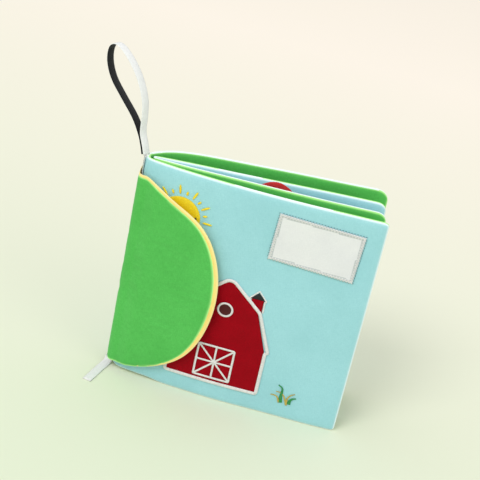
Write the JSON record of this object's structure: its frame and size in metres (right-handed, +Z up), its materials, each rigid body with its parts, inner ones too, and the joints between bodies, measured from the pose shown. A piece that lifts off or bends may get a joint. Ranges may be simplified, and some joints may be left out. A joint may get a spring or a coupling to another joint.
{
  "type": "cloth sensory book",
  "caption": "Padded cloth baby book, fanned open on its lower edges, with a rounded flap over the front cover, sewn pictures and a ribbon hanging loop.",
  "frame": {"origin": "middle of the foot of the spine lining, on the surface the book stands on", "axes": "+X from the spine to the fore-edge, -Y is the side the front cover faces, +Z up"},
  "size_m": [0.1982, 0.058, 0.2216],
  "materials": {
    "sky_cloth": "plain woven cotton",
    "green_cloth": "plain woven cotton",
    "yellow_cloth": "plain woven cotton",
    "page_patch_red": "felt",
    "ribbon_white": "woven ribbon, dark inside face",
    "label_cloth": "woven",
    "white_thread": "satin stitch",
    "barn_red": "felt",
    "window_dark": "felt",
    "black_thread": "satin stitch",
    "sun_thread": "satin stitch",
    "grass_green_thread": "satin stitch",
    "grass_ochre_thread": "satin stitch"
  },
  "bodies": {
    "book_spine": {"spine": "sky_cloth", "spine_lining": "green_cloth", "pages": "green_cloth", "pages_facing": "sky_cloth", "page_disc": "page_patch_red", "flap_band": "green_cloth", "ribbon_loop": "ribbon_white", "ribbon_run": "ribbon_white", "ribbon_tail": "ribbon_white"},
    "front_leaf": {"front_cover": "sky_cloth", "front_cover_lining": "green_cloth", "flap": "green_cloth", "flap_lining": "yellow_cloth", "label_patch": "label_cloth", "label_stitching": "white_thread", "barn_wall": "barn_red", "barn_trim": "white_thread", "barn_door": "white_thread", "barn_window": "window_dark", "barn_window_ring": "white_thread", "cupola": "barn_red", "cupola_roof": "black_thread", "cupola_trim": "white_thread", "sun_disc": "sun_thread", "sun_rays": "sun_thread", "sun_eye": "black_thread", "grass_dark": "grass_green_thread", "grass_light": "grass_ochre_thread"},
    "back_leaf": {"back_cover": "sky_cloth", "back_cover_lining": "green_cloth"}
  },
  "joints": [
    {"name": "front_cover_hinge", "type": "hinge", "parent": "book_spine", "child": "front_leaf", "pos_m": [-0.0055, -0.0098, 0], "axis": [0, 0, -1], "range_deg": [-2, 170]},
    {"name": "back_cover_hinge", "type": "hinge", "parent": "book_spine", "child": "back_leaf", "pos_m": [-0.0029, 0.0069, 0], "axis": [0, 0, 1], "range_deg": [-2, 170]}
  ]
}
